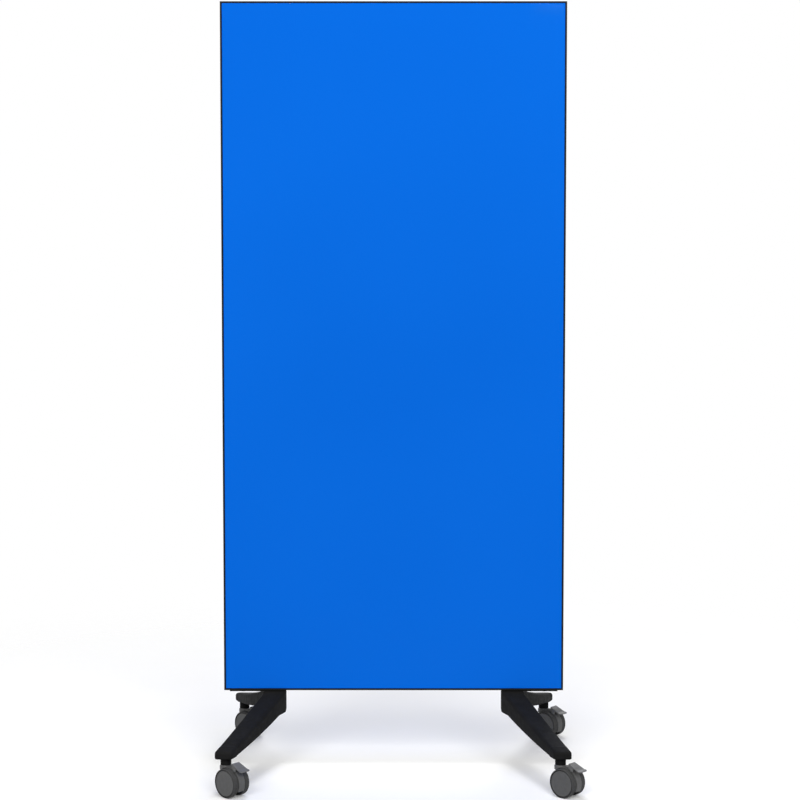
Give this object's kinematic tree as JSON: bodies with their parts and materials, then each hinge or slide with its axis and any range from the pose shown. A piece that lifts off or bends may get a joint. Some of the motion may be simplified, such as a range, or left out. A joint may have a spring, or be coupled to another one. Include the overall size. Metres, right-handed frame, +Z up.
{
  "type": "mobile glass whiteboard",
  "caption": "Tall portrait double-sided glass writing board with a slim black frame, on V-shaped cast feet with braked swivelling twin-wheel casters.",
  "frame": {"origin": "on the floor, under the middle of the board", "axes": "+X to the reader's right, +Y to the rear, +Z up; the front glass faces -Y"},
  "size_m": [0.9129, 0.6455, 1.9664],
  "materials": {
    "blue_glass": "back-painted polished glass",
    "backing_steel": "coated sheet",
    "honeycomb_core": "paper honeycomb",
    "black_frame": "black anodised",
    "corner_key": "as extruded",
    "black_seal": "matte",
    "plain_steel": "zinc plated",
    "black_bolt": "black oxide",
    "black_casting": "fine-textured black powder coat",
    "black_plate": "black powder coat",
    "black_stem": "black",
    "grey_hood": "moulded",
    "grey_pedal": "moulded",
    "grey_wheel": "moulded",
    "grey_tread": "smooth tread",
    "grey_cap": "moulded"
  },
  "bodies": {
    "board": {"front_glass": "blue_glass", "rear_glass": "blue_glass", "front_steel_sheet": "backing_steel", "rear_steel_sheet": "backing_steel", "core_board": "honeycomb_core", "frame_left": "black_frame", "frame_right": "black_frame", "frame_top": "black_frame", "frame_bottom": "black_frame", "corner_keys": "corner_key", "front_seal": "black_seal", "rear_seal": "black_seal", "anchor_bar": "plain_steel", "hub_bolts": "black_bolt", "plate_screws": "black_bolt", "left_foot": "black_casting", "right_foot": "black_casting", "left_foot_plate": "black_plate", "right_foot_plate": "black_plate", "front_left_stem": "black_stem", "front_right_stem": "black_stem", "rear_left_stem": "black_stem", "rear_right_stem": "black_stem"},
    "front_left_caster": {"front_left_hood": "grey_hood", "front_left_axle": "plain_steel"},
    "front_left_left_wheel": {"front_left_wheel_left": "grey_wheel", "front_left_tyre_left": "grey_tread", "front_left_cap_left": "grey_cap"},
    "front_left_right_wheel": {"front_left_wheel_right": "grey_wheel", "front_left_tyre_right": "grey_tread", "front_left_cap_right": "grey_cap"},
    "front_left_brake": {"front_left_pedal": "grey_pedal"},
    "front_right_caster": {"front_right_hood": "grey_hood", "front_right_axle": "plain_steel"},
    "front_right_left_wheel": {"front_right_wheel_left": "grey_wheel", "front_right_tyre_left": "grey_tread", "front_right_cap_left": "grey_cap"},
    "front_right_right_wheel": {"front_right_wheel_right": "grey_wheel", "front_right_tyre_right": "grey_tread", "front_right_cap_right": "grey_cap"},
    "front_right_brake": {"front_right_pedal": "grey_pedal"},
    "rear_left_caster": {"rear_left_hood": "grey_hood", "rear_left_axle": "plain_steel"},
    "rear_left_left_wheel": {"rear_left_wheel_left": "grey_wheel", "rear_left_tyre_left": "grey_tread", "rear_left_cap_left": "grey_cap"},
    "rear_left_right_wheel": {"rear_left_wheel_right": "grey_wheel", "rear_left_tyre_right": "grey_tread", "rear_left_cap_right": "grey_cap"},
    "rear_left_brake": {"rear_left_pedal": "grey_pedal"},
    "rear_right_caster": {"rear_right_hood": "grey_hood", "rear_right_axle": "plain_steel"},
    "rear_right_left_wheel": {"rear_right_wheel_left": "grey_wheel", "rear_right_tyre_left": "grey_tread", "rear_right_cap_left": "grey_cap"},
    "rear_right_right_wheel": {"rear_right_wheel_right": "grey_wheel", "rear_right_tyre_right": "grey_tread", "rear_right_cap_right": "grey_cap"},
    "rear_right_brake": {"rear_right_pedal": "grey_pedal"}
  },
  "joints": [
    {"name": "front_left_swivel", "type": "hinge", "parent": "board", "child": "front_left_caster", "pos_m": [-0.412, -0.28, 0.079], "axis": [0, 0, 1], "continuous": true},
    {"name": "front_left_left_roll", "type": "hinge", "parent": "front_left_caster", "child": "front_left_left_wheel", "pos_m": [-0.39591, -0.295, 0.036], "axis": [0.682, 0.7314, 0], "continuous": true},
    {"name": "front_left_right_roll", "type": "hinge", "parent": "front_left_caster", "child": "front_left_right_wheel", "pos_m": [-0.39591, -0.295, 0.036], "axis": [0.682, 0.7314, 0], "continuous": true},
    {"name": "front_left_brake_press", "type": "hinge", "parent": "front_left_caster", "child": "front_left_brake", "pos_m": [-0.3844, -0.30573, 0.07494], "axis": [0.682, 0.7314, 0], "range_deg": [0, 14]},
    {"name": "front_right_swivel", "type": "hinge", "parent": "board", "child": "front_right_caster", "pos_m": [0.412, -0.28, 0.079], "axis": [0, 0, 1], "continuous": true},
    {"name": "front_right_left_roll", "type": "hinge", "parent": "front_right_caster", "child": "front_right_left_wheel", "pos_m": [0.42809, -0.295, 0.036], "axis": [0.682, 0.7314, 0], "continuous": true},
    {"name": "front_right_right_roll", "type": "hinge", "parent": "front_right_caster", "child": "front_right_right_wheel", "pos_m": [0.42809, -0.295, 0.036], "axis": [0.682, 0.7314, 0], "continuous": true},
    {"name": "front_right_brake_press", "type": "hinge", "parent": "front_right_caster", "child": "front_right_brake", "pos_m": [0.4396, -0.30573, 0.07494], "axis": [0.682, 0.7314, 0], "range_deg": [0, 14]},
    {"name": "rear_left_swivel", "type": "hinge", "parent": "board", "child": "rear_left_caster", "pos_m": [-0.412, 0.28, 0.079], "axis": [0, 0, 1], "continuous": true},
    {"name": "rear_left_left_roll", "type": "hinge", "parent": "rear_left_caster", "child": "rear_left_left_wheel", "pos_m": [-0.39591, 0.265, 0.036], "axis": [0.682, 0.7314, 0], "continuous": true},
    {"name": "rear_left_right_roll", "type": "hinge", "parent": "rear_left_caster", "child": "rear_left_right_wheel", "pos_m": [-0.39591, 0.265, 0.036], "axis": [0.682, 0.7314, 0], "continuous": true},
    {"name": "rear_left_brake_press", "type": "hinge", "parent": "rear_left_caster", "child": "rear_left_brake", "pos_m": [-0.3844, 0.25427, 0.07494], "axis": [0.682, 0.7314, 0], "range_deg": [0, 14]},
    {"name": "rear_right_swivel", "type": "hinge", "parent": "board", "child": "rear_right_caster", "pos_m": [0.412, 0.28, 0.079], "axis": [0, 0, 1], "continuous": true},
    {"name": "rear_right_left_roll", "type": "hinge", "parent": "rear_right_caster", "child": "rear_right_left_wheel", "pos_m": [0.42809, 0.265, 0.036], "axis": [0.682, 0.7314, 0], "continuous": true},
    {"name": "rear_right_right_roll", "type": "hinge", "parent": "rear_right_caster", "child": "rear_right_right_wheel", "pos_m": [0.42809, 0.265, 0.036], "axis": [0.682, 0.7314, 0], "continuous": true},
    {"name": "rear_right_brake_press", "type": "hinge", "parent": "rear_right_caster", "child": "rear_right_brake", "pos_m": [0.4396, 0.25427, 0.07494], "axis": [0.682, 0.7314, 0], "range_deg": [0, 14]}
  ]
}
